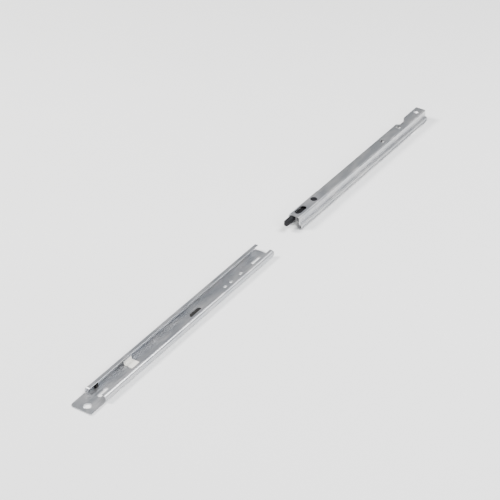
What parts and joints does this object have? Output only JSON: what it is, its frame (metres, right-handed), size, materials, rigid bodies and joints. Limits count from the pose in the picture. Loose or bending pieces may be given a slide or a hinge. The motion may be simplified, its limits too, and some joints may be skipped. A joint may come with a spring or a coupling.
{
  "type": "cabinet drawer slide",
  "caption": "Side-mounted ball-bearing drawer slide: lipped channel for the cabinet and a hat-section drawer rail with ball cages and a release latch, drawn apart.",
  "frame": {"origin": "axis of the rear tab's screw hole at the web's outer face, which lies against the cabinet side", "axes": "+X from the rear tab to the front of the cabinet along the rails, +Z out of the rail's web towards the drawer, +Y across the rail"},
  "size_m": [1.155, 0.045, 0.0268],
  "materials": {
    "rail_steel": "bright zinc plated, satin",
    "drawer_steel": "bright zinc plated, satin",
    "sleeve_steel": "zinc plated, satin",
    "cage_steel": "bare cold-rolled strip",
    "ball_steel": "polished bearing steel",
    "pin_steel": "zinc plated",
    "blackened_steel": "black oxide",
    "spring_steel": "tempered blue-grey strip",
    "white_nylon": "natural nylon, matte",
    "black_rubber": "moulded rubber, matte",
    "black_acetal": "moulded acetal, fine grain"
  },
  "bodies": {
    "cabinet": {"cabinet_rail": "rail_steel", "guide_saddle": "white_nylon", "stop_bumper": "black_rubber", "rear_buffer_left": "black_rubber", "rear_buffer_right": "black_rubber", "cage_stop_pins": "pin_steel"},
    "cage_left": {"ball_cage_left": "cage_steel", "balls_left": "ball_steel"},
    "cage_right": {"ball_cage_right": "cage_steel", "balls_right": "ball_steel"},
    "drawer": {"drawer_rail": "drawer_steel", "rear_sleeve": "sleeve_steel", "sleeve_rivets": "pin_steel", "latch_rivet": "blackened_steel", "latch_washer": "pin_steel", "spring_rivet": "pin_steel", "latch_spring": "spring_steel", "glide_shoe_left": "black_acetal", "glide_shoe_right": "black_acetal"},
    "latch": {"latch_lever": "black_acetal"}
  },
  "joints": [
    {"name": "drawer_travel", "type": "slide", "parent": "cabinet", "child": "drawer", "axis": [1, 0, 0], "range_m": [-0.589, 0]},
    {"name": "cage_left_travel", "type": "slide", "parent": "cabinet", "child": "cage_left", "axis": [1, 0, 0], "range_m": [-0.2945, 0]},
    {"name": "cage_right_travel", "type": "slide", "parent": "cabinet", "child": "cage_right", "axis": [1, 0, 0], "range_m": [-0.2945, 0]},
    {"name": "latch_press", "type": "hinge", "parent": "drawer", "child": "latch", "pos_m": [0.711, 0.003, 0.019], "axis": [0, 0, 1], "range_deg": [0, 3.5], "stiffness_Nm_per_rad": 0.4, "springref_deg": -2.86, "deforming": ["latch_spring"]}
  ],
  "couplings": [
    {"joint": "cage_left_travel", "follows": "drawer_travel", "ratio": 0.5},
    {"joint": "cage_right_travel", "follows": "drawer_travel", "ratio": 0.5}
  ]
}
